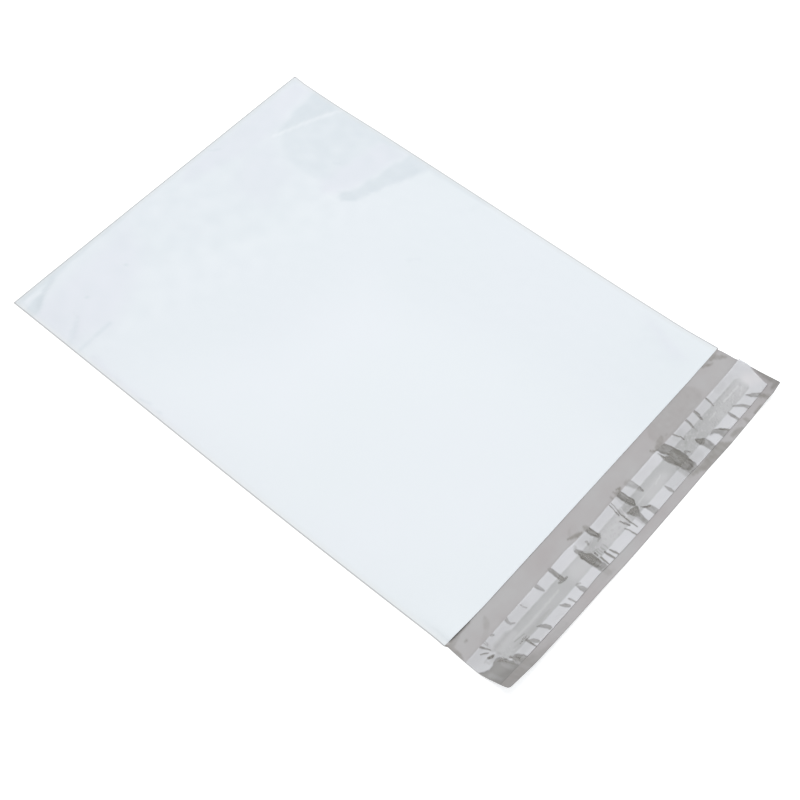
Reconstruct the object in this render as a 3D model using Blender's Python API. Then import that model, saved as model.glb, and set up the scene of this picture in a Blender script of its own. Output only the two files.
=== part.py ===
"""Poly mailer bag, lying empty with its flap open. Metres, +Z up.

One web of film, white outside and grey inside, is folded over at the bottom and heat-welded down both
sides. The back panel runs on past the mouth as the sealing flap. The flap's inner face carries a line of
hot-melt glue, and a clear release liner covers the glue.

The web is described flat: x across the bag from its far side, y along it from the bottom fold, and a
height above the underside. lay() then gives the flap its curled corners.
"""

import math

import bmesh
import bpy
from mathutils import Vector

# The bag's outline. The near side bows out along the pocket and flares at the mouth, and the flap's own
# side starts inside it. The far side is drawn in along the pocket and runs out again at the flap.
WIDTH = 0.230
POCKET = 0.316
FLAP = 0.039
SIDE_BOW = 0.001
BOW_POWER = 1.5
MOUTH_FLARE = 0.0006
FLARE_REACH = 0.006
FLAP_SPREAD = 0.0004
FLAP_NOTCH = 0.0009
NOTCH_REACH = 0.008
NOTCH_STEP = 0.0004
FAR_INSET = 0.0006
INSET_REACH = 0.010
FAR_HOLLOW = 0.0006
HOLLOW_MIDDLE = 0.036
HOLLOW_REACH = 0.028
RETURN_START = 0.240
RETURN_END = 0.310
FAR_FLARE = 0.0006
FAR_FLARE_START = 0.290

# The middle of the outline once the flap has curled, which is where the bag's origin is
MIDDLE = (0.11524, 0.1775)

# The film and its side welds
FILM = 0.0000635
WELD = 0.0025

# How far the front panel stands off the back one, with a slow wave across and along the bag
FOLD_GAP = 0.0004
CROWN = 0.0014
CROWN_REACH = 0.014
WAVE = 0.25
WAVE_ACROSS = 0.19
WAVE_ALONG = 0.14
MOUTH_CLOSING = 0.8
MOUTH_REACH = 0.020
CORNER_LIFT = 0.0014
CORNER_REACH = 0.016
CORNER_WELD = 0.001

# The glue line and the release liner, both measured from the mouth
GLUE_MIDDLE = 0.0229
GLUE_WIDTH = 0.0090
GLUE_START = 0.0084
GLUE_END = 0.2170
GLUE_THICK = 0.00012
GLUE_BLUNT = 0.3
GLUE_DOME = 0.4
LINER_MIDDLE = 0.0230
LINER_WIDTH = 0.0210
LINER_SKEW = 0.003
LINER_THICK = 0.00005
CLEARANCE = 0.0003

# The liner's far end is cut at a slant, past the flap's side at its mouth edge and inside it at the
# outer one. That end stands up, most at its mouth edge and not at all past END_FADE of the way across.
END_OVERHANG = 0.0006
END_SLANT = 0.0032
END_LIFT = 0.0011
END_REACH = 0.007
END_FADE = 0.6

# Each curl bends the film up at a radius, about a line from one point to another that has the lifted
# side on its left
CURLS = (
    ((0.105, POCKET + FLAP), (WIDTH, POCKET + 0.017), 0.040),
    ((0.190, POCKET + FLAP), (WIDTH, POCKET + 0.021), 0.055),
    ((0.000, POCKET - 0.026), (0.027, POCKET + FLAP), 0.045),
)

# The liner's puckers, each a ridge from one point to another, with its half width and its height. Here
# too y is measured from the mouth.
PUCKERS = (
    ((0.0083, 0.0340), (0.0148, 0.0282), 0.0013, 0.0004),
    ((0.0204, 0.0340), (0.0250, 0.0272), 0.0011, 0.0003),
    ((0.0299, 0.0340), (0.0302, 0.0277), 0.0010, 0.0003),
    ((0.0304, 0.0126), (0.0316, 0.0190), 0.0008, 0.0003),
    ((0.0412, 0.0126), (0.0427, 0.0190), 0.0009, 0.0003),
    ((0.0418, 0.0340), (0.0442, 0.0284), 0.0024, 0.0005),
    ((0.0487, 0.0126), (0.0500, 0.0190), 0.0008, 0.0003),
    ((0.0535, 0.0340), (0.0549, 0.0250), 0.0020, 0.0006),
    ((0.0700, 0.0120), (0.0713, 0.0340), 0.0040, 0.0010),
    ((0.0884, 0.0340), (0.0886, 0.0280), 0.0009, 0.0003),
    ((0.0990, 0.0126), (0.0982, 0.0210), 0.0019, 0.0004),
    ((0.1034, 0.0340), (0.1046, 0.0280), 0.0016, 0.0004),
    ((0.1078, 0.0120), (0.1076, 0.0222), 0.0019, 0.0007),
    ((0.1118, 0.0340), (0.1116, 0.0240), 0.0019, 0.0005),
    ((0.1348, 0.0115), (0.1338, 0.0200), 0.0016, 0.0005),
    ((0.1388, 0.0340), (0.1392, 0.0280), 0.0008, 0.0003),
    ((0.1470, 0.0340), (0.1482, 0.0170), 0.0025, 0.0008),
    ((0.1623, 0.0340), (0.1632, 0.0282), 0.0014, 0.0004),
    ((0.1650, 0.0124), (0.1650, 0.0206), 0.0012, 0.0004),
    ((0.1744, 0.0330), (0.1770, 0.0280), 0.0009, 0.0003),
    ((0.1769, 0.0126), (0.1758, 0.0186), 0.0010, 0.0003),
    ((0.1897, 0.0340), (0.1920, 0.0276), 0.0012, 0.0004),
    ((0.2000, 0.0340), (0.2018, 0.0276), 0.0012, 0.0004),
    ((0.1998, 0.0126), (0.2000, 0.0168), 0.0010, 0.0003),
    ((0.2120, 0.0340), (0.2134, 0.0280), 0.0024, 0.0006),
    ((0.2190, 0.0126), (0.2176, 0.0168), 0.0010, 0.0003),
)

# How finely each shape is divided
WEB_COLUMNS = 24
POCKET_ROWS = 16
FOLD_ROWS = 5
FLAP_ROWS = 8
LINER_COLUMNS = 160
LINER_ROWS = 9
GLUE_COLUMNS = 64
GLUE_ROWS = 4
SAME_PLACE = 1e-7
SHARP_ANGLE = 40

# How evenly the divisions are spread, from 0 for all towards the ends to 1
WEB_EVENNESS = 0.5
GLUE_EVENNESS = 0.6


def smooth(low, high, value):
    """Rises gently from 0 at one value to 1 at another."""
    share = min(max((value - low) / (high - low), 0.0), 1.0)
    return share * share * (3 - 2 * share)


def curl_at(x, y):
    """How a point of the flat web moves as the corners curl, and the slope there."""
    shift = Vector((0.0, 0.0, 0.0))
    slope = Vector((0.0, 0.0))
    for start, end, radius in CURLS:
        along = (Vector(end) - Vector(start)).normalized()
        across = Vector((-along.y, along.x))
        past = (Vector((x, y)) - Vector(start)).dot(across)
        if past <= 0:
            continue
        turned = past / radius
        slip = past - radius * math.sin(turned)
        shift += Vector((-across.x * slip, -across.y * slip, radius * (1 - math.cos(turned))))
        slope += across * math.tan(turned)
    return shift, slope


def lay(x, y, height):
    """The point at a height above the web's underside, once the web lies with its corners curled."""
    shift, slope = curl_at(x, y)
    normal = Vector((-slope.x, -slope.y, 1.0)).normalized()
    return Vector((x, y, 0.0)) + shift + normal * height


def far_edge(y):
    """Where the far side runs."""
    hollow = FAR_HOLLOW * math.exp(-(((y - HOLLOW_MIDDLE) / HOLLOW_REACH) ** 2))
    inset = FAR_INSET * smooth(0.0, INSET_REACH, y) + hollow
    drawn_in = inset * (1 - smooth(RETURN_START, RETURN_END, y))
    return drawn_in - FAR_FLARE * smooth(FAR_FLARE_START, POCKET, y)


def near_edge(y):
    """Where the near side runs."""
    if y <= POCKET:
        bow = SIDE_BOW * math.sin(math.pi * (y / POCKET) ** BOW_POWER)
        return WIDTH + bow + MOUTH_FLARE * math.exp(-(((POCKET - y) / FLARE_REACH) ** 2))
    return WIDTH + FLAP_SPREAD - FLAP_NOTCH * math.exp(-(y - POCKET) / NOTCH_REACH)


def eased(step, steps, evenness):
    """A place from 0 to 1, with the steps closer together towards both ends."""
    even = step / steps
    crowded = 0.5 - 0.5 * math.cos(math.pi * even)
    return evenness * even + (1 - evenness) * crowded


def column_place(column, y):
    """Where a column of the web runs, and how far it is inside the nearer weld."""
    far, near = far_edge(y), near_edge(y)
    if column == 0:
        return far, 0.0
    if column == WEB_COLUMNS:
        return near, 0.0
    clear = near - far - 2 * WELD
    share = eased(column - 1, WEB_COLUMNS - 2, WEB_EVENNESS)
    return far + WELD + share * clear, min(share, 1 - share) * clear


def gap(x, y, inside):
    """The clear height of the pocket. It is nothing at the welds, and little at the mouth."""
    off_weld = 1 - math.exp(-inside / CROWN_REACH)
    off_fold = 1 - math.exp(-y / CROWN_REACH)
    wave = 1 + WAVE * math.sin(2 * math.pi * (x / WAVE_ACROSS + y / WAVE_ALONG))
    closing = 1 - MOUTH_CLOSING * math.exp(-(POCKET - y) / MOUTH_REACH)
    to_corner = math.hypot(WIDTH - x, POCKET - y) / CORNER_REACH
    corner = CORNER_LIFT * (1 - math.exp(-inside / CORNER_WELD)) * math.exp(-(to_corner**2))
    return off_weld * (FOLD_GAP + (CROWN - FOLD_GAP) * off_fold * wave) * closing + corner


def web_rows():
    """The web's rows in order: the front panel from its mouth, the bottom fold, the back and the flap."""
    places = [eased(row, POCKET_ROWS, WEB_EVENNESS) for row in range(1, POCKET_ROWS + 1)]
    pocket = [POCKET * place for place in places]
    fold = [math.pi * (1 - row / FOLD_ROWS) for row in range(FOLD_ROWS + 1)]
    flap = [POCKET + NOTCH_STEP]
    flap += [POCKET + FLAP * row / FLAP_ROWS for row in range(1, FLAP_ROWS + 1)]
    rows = [("front", y) for y in reversed(pocket)]
    rows += [("fold", angle) for angle in fold]
    rows += [("back", y) for y in pocket]
    rows += [("flap", y) for y in flap]
    return rows


def web_point(part, value, column, inner):
    """A point of the web's outer face, or of its inner face."""
    if part == "fold":
        x, inside = column_place(column, 0.0)
        bend = FILM + gap(x, 0.0, inside) / 2
        radius = bend - (FILM if inner else 0.0)
        return Vector((x, bend - radius * math.sin(value), bend - radius * math.cos(value)))
    x, inside = column_place(column, value)
    if part == "front":
        return lay(x, value, gap(x, value, inside) + (FILM if inner else 2 * FILM))
    return lay(x, value, FILM if inner else 0.0)


def add_cell(mesh, grid, row, column, slot=0):
    """Two triangles, split the same way on both faces of a sheet so that its thickness is kept."""
    near, far = grid[row], grid[row + 1]
    corners = (near[column], near[column + 1], far[column + 1], far[column])
    for picked in ((0, 1, 2), (0, 2, 3)):
        face = mesh.faces.new([corners[index] for index in picked])
        face.material_index = slot


def add_rim(mesh, first, second):
    """A strip that closes the edge between two runs of points."""
    for index in range(len(first) - 1):
        corners = (first[index], first[index + 1], second[index + 1], second[index])
        mesh.faces.new(corners)


def column_of(grid, column):
    return [row[column] for row in grid]


def close_edges(mesh, outer, inner):
    """Closes a sheet's two faces along all four of its edges."""
    add_rim(mesh, outer[0], inner[0])
    add_rim(mesh, outer[-1], inner[-1])
    add_rim(mesh, column_of(outer, 0), column_of(inner, 0))
    add_rim(mesh, column_of(outer, -1), column_of(inner, -1))


def finish_object(name, mesh, materials, parent):
    """Turns a bmesh into a named object with its faces pointing out."""
    bmesh.ops.remove_doubles(mesh, verts=mesh.verts, dist=SAME_PLACE)
    bmesh.ops.recalc_face_normals(mesh, faces=mesh.faces)
    data = bpy.data.meshes.new(name)
    mesh.to_mesh(data)
    mesh.free()
    for material in materials:
        data.materials.append(material)
    data.shade_smooth()
    data.set_sharp_from_angle(angle=math.radians(SHARP_ANGLE))
    made = bpy.data.objects.new(name, data)
    made.parent = parent
    bpy.context.scene.collection.objects.link(made)
    return made


def material(name, colour, roughness):
    made = bpy.data.materials.new(name)
    made.use_nodes = True
    made.diffuse_color = (*colour, 1.0)
    shader = made.node_tree.nodes["Principled BSDF"]
    shader.inputs["Base Color"].default_value = (*colour, 1.0)
    shader.inputs["Roughness"].default_value = roughness
    shader.inputs["Metallic"].default_value = 0.0
    return made


def make_film(parent):
    """The folded web. In the side welds its two inner faces have melted into one."""
    white = material("film_white", (0.83, 0.85, 0.88), 0.42)
    grey = material("film_grey", (0.45, 0.44, 0.43), 0.48)
    mesh = bmesh.new()
    rows = web_rows()
    outer = []
    inner = []
    for part, value in rows:
        columns = range(WEB_COLUMNS + 1)
        outer.append([mesh.verts.new(web_point(part, value, column, False)) for column in columns])
        inner.append([mesh.verts.new(web_point(part, value, column, True)) for column in columns])
    mouth_row = len(rows) - 1 - sum(1 for part, _ in rows if part == "flap")
    for row in range(len(rows) - 1):
        for column in range(WEB_COLUMNS):
            add_cell(mesh, outer, row, column)
            in_weld = column in (0, WEB_COLUMNS - 1) and row < mouth_row
            if not in_weld:
                add_cell(mesh, inner, row, column, slot=1)
    close_edges(mesh, outer, inner)
    return finish_object("bag_film", mesh, (white, grey), parent)


def make_glue(parent):
    """A flat bead with round ends and a slightly domed top."""
    tacky = material("hot_melt_glue", (0.53, 0.55, 0.55), 0.35)
    mesh = bmesh.new()
    half = GLUE_WIDTH / 2
    under, top = [], []
    for row in range(GLUE_ROWS + 1):
        share = 2 * row / GLUE_ROWS - 1
        under.append([])
        top.append([])
        for column in range(GLUE_COLUMNS + 1):
            x = GLUE_START + (GLUE_END - GLUE_START) * eased(column, GLUE_COLUMNS, GLUE_EVENNESS)
            to_end = min(x - GLUE_START, GLUE_END - x, half)
            round_end = math.sqrt(max(half**2 - (half - to_end) ** 2, 0.0))
            y = POCKET + GLUE_MIDDLE + share * max(round_end, GLUE_BLUNT * half)
            dome = GLUE_THICK * (1 - GLUE_DOME * share**2)
            under[row].append(mesh.verts.new(lay(x, y, FILM + CLEARANCE)))
            top[row].append(mesh.verts.new(lay(x, y, FILM + CLEARANCE + dome)))
    for row in range(GLUE_ROWS):
        for column in range(GLUE_COLUMNS):
            add_cell(mesh, under, row, column)
            add_cell(mesh, top, row, column)
    close_edges(mesh, under, top)
    return finish_object("adhesive_strip", mesh, (tacky,), parent)


def pucker_height(x, y):
    """How far the liner's puckers stand up at a place. y is measured from the mouth."""
    height = 0.0
    for start, end, half_width, rise in PUCKERS:
        ridge = Vector(end) - Vector(start)
        offset = Vector((x, y)) - Vector(start)
        share = min(max(offset.dot(ridge) / ridge.length_squared, 0.0), 1.0)
        away = (offset - share * ridge).length
        height = max(height, rise * math.exp(-((away / half_width) ** 2)))
    return height


def liner_point(column, row):
    """A place on the liner: x across the bag, y from the mouth, and how far its far end lifts it."""
    across = 2 * row / LINER_ROWS - 1
    far = far_edge(POCKET) - END_OVERHANG + END_SLANT * smooth(0.0, 1.0, across)
    x = far + (near_edge(POCKET + LINER_MIDDLE) - far) * column / LINER_COLUMNS
    y = LINER_MIDDLE + LINER_SKEW * (WIDTH / 2 - x) + across * LINER_WIDTH / 2
    lift = END_LIFT * math.exp(-(((x - far) / END_REACH) ** 2)) * (1 - smooth(-1.0, END_FADE, across))
    return x, y, lift


def make_liner(parent):
    """The thin strip over the glue, puckered where it has pulled loose."""
    clear = material("release_film", (0.62, 0.63, 0.64), 0.2)
    mesh = bmesh.new()
    base = FILM + CLEARANCE + GLUE_THICK + CLEARANCE
    under, top = [], []
    for row in range(LINER_ROWS + 1):
        under.append([])
        top.append([])
        for column in range(LINER_COLUMNS + 1):
            x, y, lift = liner_point(column, row)
            height = base + lift + pucker_height(x, y)
            under[row].append(mesh.verts.new(lay(x, POCKET + y, height)))
            top[row].append(mesh.verts.new(lay(x, POCKET + y, height + LINER_THICK)))
    for row in range(LINER_ROWS):
        for column in range(LINER_COLUMNS):
            add_cell(mesh, under, row, column)
            add_cell(mesh, top, row, column)
    close_edges(mesh, under, top)
    return finish_object("release_liner", mesh, (clear,), parent)


def clear_scene():
    for old in list(bpy.data.objects):
        bpy.data.objects.remove(old, do_unlink=True)


def main():
    clear_scene()
    mailer = bpy.data.objects.new("mailer", None)
    bpy.context.scene.collection.objects.link(mailer)
    mailer.location = (-MIDDLE[0], -MIDDLE[1], 0.0)
    make_film(mailer)
    make_glue(mailer)
    make_liner(mailer)


main()
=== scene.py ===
import math

import bmesh
import bpy
import numpy as np
from mathutils import Matrix, Vector


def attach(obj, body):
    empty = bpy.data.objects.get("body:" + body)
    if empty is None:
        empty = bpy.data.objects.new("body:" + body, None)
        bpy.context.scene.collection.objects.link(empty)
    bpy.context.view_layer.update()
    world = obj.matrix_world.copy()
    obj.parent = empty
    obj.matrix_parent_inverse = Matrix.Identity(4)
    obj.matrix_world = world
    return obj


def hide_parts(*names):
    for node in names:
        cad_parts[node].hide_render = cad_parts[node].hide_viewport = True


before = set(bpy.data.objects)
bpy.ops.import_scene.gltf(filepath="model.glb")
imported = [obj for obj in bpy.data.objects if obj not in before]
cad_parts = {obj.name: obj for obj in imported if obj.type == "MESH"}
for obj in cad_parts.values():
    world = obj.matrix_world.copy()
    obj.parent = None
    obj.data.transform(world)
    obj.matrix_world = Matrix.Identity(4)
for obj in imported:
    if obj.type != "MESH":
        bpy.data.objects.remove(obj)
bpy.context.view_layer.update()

# Web coordinates run across the bag from its far side (x) and along it from the bottom fold (y), in
# metres. A stretch is a pair of places that something fades between.
MM = 0.001
WIDTH = 0.230
POCKET = 0.316
FLAP = 0.039
MIDDLE = (0.11524, 0.1775)

# The near side bows out and flares at the mouth. The flap's near side starts inside it, and is drawn in
# towards a rounded corner.
SIDE_BOW = 0.001
BOW_POWER = 1.5
MOUTH_FLARE = 0.0004
FLARE_REACH = 0.006
FLAP_SPREAD = 0.0004
FLAP_NOTCH = 0.0009
NOTCH_REACH = 0.008
NOTCH_STEP = 0.0004
FLAP_TAPER = 0.00085
TAPER_STRETCH = (0.020, 0.031)
FLAP_CORNER = 0.0015

# The far side is drawn in along the pocket and runs out again at the flap, which starts with a notch
# and a step, and spreads towards its corner.
FAR_INSET = 0.0006
INSET_REACH = 0.010
FAR_HOLLOW = 0.0006
HOLLOW_MIDDLE = 0.036
HOLLOW_REACH = 0.028
RETURN_STRETCH = (0.240, 0.310)
FAR_FLARE = 0.0006
FAR_FLARE_START = 0.290
FAR_STEP = 0.0005
STEP_STRETCH = (0.0105, 0.0145)
FAR_NOTCH = 0.0007
FAR_NOTCH_REACH = 0.0016
FAR_SPREAD = 0.0003
FAR_SPREAD_START = 0.026

# The film, its welds and the pocket
FILM = 0.0000635
WELD = 0.0025
FOLD_GAP = 0.0004
CROWN = 0.0014
CROWN_REACH = 0.014
WAVE = 0.25
WAVE_ACROSS = 0.19
WAVE_ALONG = 0.14
LEAST_GAP = 0.12
CREASE_START = 0.004
CREASE_FOLD_START = 0.0005
MOUTH_CLOSING = 0.8
MOUTH_REACH = 0.020
DIP_REACH = 0.004
CORNER_LIFT = 0.0014
CORNER_REACH = 0.016
CORNER_WELD = 0.003

# The glue line and the liner, measured from the mouth
GLUE_MIDDLE = 0.0229
GLUE_WIDTH = 0.009
GLUE_START = 0.0084
GLUE_END = 0.217
GLUE_THICK = 0.00012
GLUE_DOME = 0.4
GLUE_BLUNT = 0.3
GLUE_LIFT = 0.00003
LINER_MIDDLE = 0.023
LINER_WIDTH = 0.021
LINER_SKEW = 0.003
LINER_THICK = 0.00005
LINER_LIFT = 0.00025
LINER_LOOSE = 0.00003
LINER_REST = 0.00001
PUCKER_REST = 0.00004
END_OVERHANG = 0.0002
END_SLANT = 0.0044
END_SLANT_START = -0.36
END_SLANT_POWER = 0.7
END_LIFT = 0.0011
END_REACH = 0.007
END_FADE = 0.6

# Where the glue wets the liner, in millimetres. It starts thin, has round corners, and spreads towards
# the mouth near its end.
WET_MIDDLE = 22.75
WET_WIDTH = 9.3
WET_SOFT = 0.5
WET_START = (-1, 2.5)
WET_END = (-0.6, 1.2)
WET_THIN = 0.72
THIN_STRETCH = (2, 10)
WET_ROUND = 1.2
ROUND_REACH = 2.6
WET_SPREAD = 1.2
SPREAD_STRETCH = (202, 206)

# How high the marks of the flap's film and liner stand and where they fade, in millimetres, and how dark
# or light they are painted, as shade and highlights
DENT_LIFT = 0.1
UNDER_LIFT = 0.25
UNDER_DARK = 0.6
UNDER_STRETCH = (31.2, 32.8)
WIDE_PUCKER = 2.5
OUTER_STRETCH = (32, 35)
NEAR_STRETCH = (198, 213)
FLAP_START = 3
CORNER_DARK = 0.74
CORNER_SOFT = 0.25
CORNER_FLATTER = 0.8
FILM_CORNER_DARK = 0.4
EDGE_FLATTER = 0.75
EDGE_STRETCH = (30, 32.6)
CRINKLE_DARK = 0.14
CRINKLE_HIGHLIGHT = 0.45
CRINKLE_ENDS = (-1, 3)
SHADED_CRESTS = (0.2, 1.4)
LIGHT_CRESTS = (0.4, 1.5)
STROKE_RIM = 0.15

# Irregular waves, this many in a sum. Each sum has a size, a length in millimetres, a seed, and how much
# shorter it is along the bag.
WAVES = 16
FINE_WAVES = ((0.035, 28, 3), (0.012, 11, 5))
TONE_WANDER = ((0.5, 12, 41), (0.5, 12, 42))
TONE_MOTTLING = (0.08, 9, 44)
PATCH_MOTTLING = (1, 16, 43)
DENT_WANDER = (0.25, 2.6, 31)
SHADE_MOTTLING = (0.15, 3.5, 32)
MARK_WANDER = ((0.12, 3.2, 51), (0.12, 3.2, 52))
WET_RAGGED = (0.06, 5, 57)
CRINKLE_HEIGHTS = (0.1, 2.2, 53)
CRINKLE_SHADES = (1, 3, 55, 1.4)
CRINKLE_GLINTS = (1, 3.2, 54, 1.8)
PUCKER_LINES = (0.09, 1.6, 58, 0.3)
GLUE_RAGGED = (0.03, 12, 11)
LOOSE_WAVES = (1, 9, 21)

# How finely the meshes are divided
WEB_COLUMNS = 216
EDGE_STEPS = (0.0, 0.0004, 0.0009, 0.0016)
FRONT_ROWS = 112
FIRST_ROW = 0.0012
LAST_ROWS = (0.0016, 0.0006, 0)
ROW_CROWDING = 0.45
BROAD_END = 0.284
BROAD_STEP = 4
FOLD_ROWS = 6
FLAP_ROWS = 76
GLUE_COLUMNS = 300
GLUE_ROWS = 14
GLUE_CROWDING = 0.2
LINER_COLUMNS = 680
LINER_ROWS = 64
SAME_PLACE = 2e-7
SHARP_ANGLE = 50

# Each curl bends the film up at a radius, about a line from one point to another that has the lifted
# side on its left
CURLS = (
    ((0.105, POCKET + FLAP), (WIDTH, POCKET + 0.017), 0.040),
    ((0.190, POCKET + FLAP), (WIDTH, POCKET + 0.021), 0.055),
    ((0.000, POCKET - 0.026), (0.027, POCKET + FLAP), 0.045),
)

# The relief of the film's grain and of its broader unevenness
GRAIN = 0.00002
UNEVEN = 0.0002

# The camera's place and aim, its roll in degrees and its lens in millimetres
CAMERA_PLACE = (0.34301, 0.31195, 0.67040)
CAMERA_AIM = (0.02238, 0.02845, 0)
CAMERA_ROLL = -0.608
CAMERA_LENS = 66.91

# The colours, from 0 to 255. A pair is what a material's clouds or streaks run between.
WHITE = ((226, 231, 234), (227, 231, 235))
LILAC = (221, 222, 230)
SHADED = (210, 217, 222)
WELDED = (216, 217, 216)
WHITE_RIM = (166, 166, 166)
GREY = ((165, 160, 160), (171, 169, 169))
# The dark colours of the grey film and the glue are painted shade
GREY_SHADE = (117, 113, 105)
GREY_RIM = (107, 105, 101)
GLUE = ((171, 170, 169), (185, 184, 185))
GLUE_SHADE = (139, 135, 122)
# The dry liner's pale colour is partly its haze and partly a painted reflection; its light colour is a
# painted highlight and its dark colour painted shade
LINER_DRY = (232, 232, 235)
LINER_WET = (210, 210, 210)
LINER_HIGHLIGHT = (241, 239, 241)
LINER_SHADE = (124, 120, 112)

# The floor's size, its drop under the bag and its glow, and the light of the sky
FLOOR_SIZE = 12
FLOOR_DROP = 0.0003
FLOOR_GLOW = 0.5
SKY_STRENGTH = 0.53
DAYLIGHT = (0.97, 0.985, 1.0)

# The marks below are brush strokes: a strength, then points along the stroke, each with its x, y and
# width in millimetres. On the body y is measured from the bottom fold, and on the flap from the mouth.

# Creases that stand up from the front panel, or sink into it, by a number of millimetres
CREASES = (
    (0.45, (0, 42, 3.4), (22, 33.5, 3.4), (46, 25, 2.4)),
    (-0.3, (3, 24, 16), (18, 24, 14), (34, 20, 8)),
    (-0.25, (36, 34, 11), (46, 52, 9), (49, 64, 5)),
    (0.14, (12, 54, 4), (24, 51, 4), (38, 52, 3)),
    (0.14, (15, 71, 4), (26, 66, 5), (36, 60, 3)),
    (-0.12, (18, 62, 6), (30, 60, 7)),
    (-0.45, (3, 106, 12), (20, 102, 12), (42, 95, 12), (57, 87, 8)),
    (0.22, (4, 88, 14), (30, 82, 14), (54, 76, 10)),
    (0.2, (4, 124, 10), (40, 112, 10)),
    (-0.16, (0, 151, 7), (20, 148, 6)),
    (-0.12, (58, 152, 5), (65, 149, 4)),
    (-0.12, (10, 203, 7), (36, 210, 7), (56, 198, 6)),
    (-0.25, (8, 298, 12), (20, 288, 16), (34, 280, 10)),
    (-0.34, (206, 3, 6), (218, 7, 9), (230, 13, 10)),
    (-0.22, (214, 34, 4), (222, 40, 6), (230, 46, 6)),
    (-0.22, (203, 51, 2), (216, 51.5, 3.2), (229, 52.5, 2.4)),
)

# Patches of painted shade on the white film, standing in for the sheen it loses where it tilts: a
# strength and a softness, then the corners of an area that has no dents in it, in turn to the left
SHADE_PATCHES = (
    (0.95, 2.4, (-1, 97), (20, 93), (46, 90.5), (50, 97.8), (24, 106.5), (12, 112), (-1, 116)),
    (0.95, 1.8, (40, 92), (53, 85), (58, 88.5), (50, 97.6), (42, 99.8)),
    (0.95, 2, (-1, 17), (22, 20.5), (44, 24.5), (30, 29), (16, 33.5), (-1, 39)),
    (0.74, 5, (20, 38), (34, 29), (47, 29), (52, 46), (51, 60), (45, 66), (36, 52)),
    (0.74, 6, (-4, 16), (40, 22), (56, 40), (56, 66), (48, 75), (-4, 78)),
    (0.4, 22, (20, -10), (180, -10), (170, 50), (100, 80), (30, 85)),
    (0.22, 26, (-10, -10), (240, -10), (235, 70), (160, 130), (-10, 150)),
    (0.4, 12, (-6, 30), (44, 30), (48, 100), (-6, 110)),
    (0.62, 2.6, (-2, 16), (3.5, 16), (5, 80), (5.6, 126), (4.6, 156), (-2, 160)),
    (0.75, 3, (-2, 36), (5, 44), (8, 60), (7, 84), (-2, 94)),
    (0.3, 5, (50, 84), (62, 80), (76, 79), (74, 88), (60, 94)),
    (0.45, 2.5, (-2, -2), (8, -2), (6, 5), (-2, 8)),
    (0.14, 9, (152, 8), (231, 12), (231, 44), (206, 54), (188, 50), (158, 30)),
    (0.28, 6, (4, 281), (12, 273), (36, 279), (38, 286), (24, 311), (16, 314)),
    (0.2, 26, (-10, 110), (96, 110), (66, 320), (-10, 320)),
    (0.75, 1.6, (194, 3.2), (215, 3.6), (217, 10.5), (206, 6.8)),
    (1.1, 1.8, (212, 5.4), (222, 7.4), (231, 7.6), (231, 16.6), (225, 15.6), (216, 10.4)),
    (0.42, 1.6, (222, 0), (232, 0), (232, 7), (226, 7)),
    (0.85, 1.8, (120, -2), (232, -2), (232, 4), (210, 4.2), (150, 3.4)),
    (0.55, 2.6, (-2, -2), (232, -2), (232, 4.2), (-2, 3.6)),
)

# A painted highlight along the ridge between the patches, and strokes of painted shade beside the creases
RIDGE_HIGHLIGHT = ((0.55, (2, 41.4, 2.2), (22, 33.6, 2.4), (46, 25.4, 1.4)),)
SHADE_STROKES = (
    (0.55, (214, 35, 2), (222, 40, 4.4), (231, 46, 4.4)),
    (0.75, (204, 51.4, 1.2), (212, 51.6, 2.8), (216, 51.2, 1.2)),
    (0.6, (216, 52.2, 1.8), (221, 51.6, 2.6), (229, 52.2, 1.6)),
    (0.3, (1, 152, 7), (12, 151, 4), (18, 149.6, 2)),
    (0.4, (59.6, 151.5, 3.5), (63.5, 149, 3.5)),
    (0.22, (10, 205, 5), (24, 211, 6), (38, 207, 4)),
    (0.16, (40, 214, 6), (56, 199, 8)),
    (0.7, (73, 8.4, 2.2), (79, 3, 2.4)),
    (0.95, (34.6, 72.4, 2), (35.6, 69, 2.2), (38, 66.2, 1.8)),
    (0.8, (13.5, 53.6, 1.2), (19, 52.2, 1.4)),
    (0.8, (33, 52.4, 1.4), (36.4, 52.2, 1.2)),
    (0.55, (225.4, 107.4, 1.4), (229.8, 98.6, 1.2)),
    (0.45, (226.6, 81.6, 1.8), (229.4, 82.4, 1.2)),
    (0.45, (227.2, 113.6, 1.6), (230.6, 116.8, 1.6)),
    (0.35, (226, 60.4, 1.4), (230.4, 63.6, 1.2)),
    (0.9, (170.6, 29.3, 1), (171.4, 29.5, 1)),
    (0.9, (200.8, 28.4, 1.4), (201.8, 28.9, 1.4)),
)

# Patches where the tone wavers, and patches of lilac
MOTTLED_PATCHES = (
    (0.13, 5, (8, 46), (44, 44), (51, 58), (46, 74), (10, 78)),
    (0.08, 6, (6, 78), (54, 70), (62, 80), (52, 86), (6, 95)),
    (0.06, 12, (0, 0), (231, 0), (231, 60), (60, 110), (0, 110)),
)
LILAC_PATCHES = (
    (0.7, 4, (5, 77), (52, 70), (60, 78), (52, 85), (40, 90.5), (5, 94)),
    (0.65, 5, (3, 3), (96, 3), (108, 10), (62, 24), (44, 23), (3, 15)),
    (0.5, 8, (48, 26), (66, 22), (92, 34), (88, 60), (62, 54)),
    (0.6, 9, (152, 8), (231, 12), (231, 44), (206, 54), (188, 50), (158, 30)),
    (0.4, 2.5, (225, 60), (231, 60), (231, 130), (229, 130)),
    (0.4, 3, (6, 275), (10, 275), (22, 300), (16, 306)),
)
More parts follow.
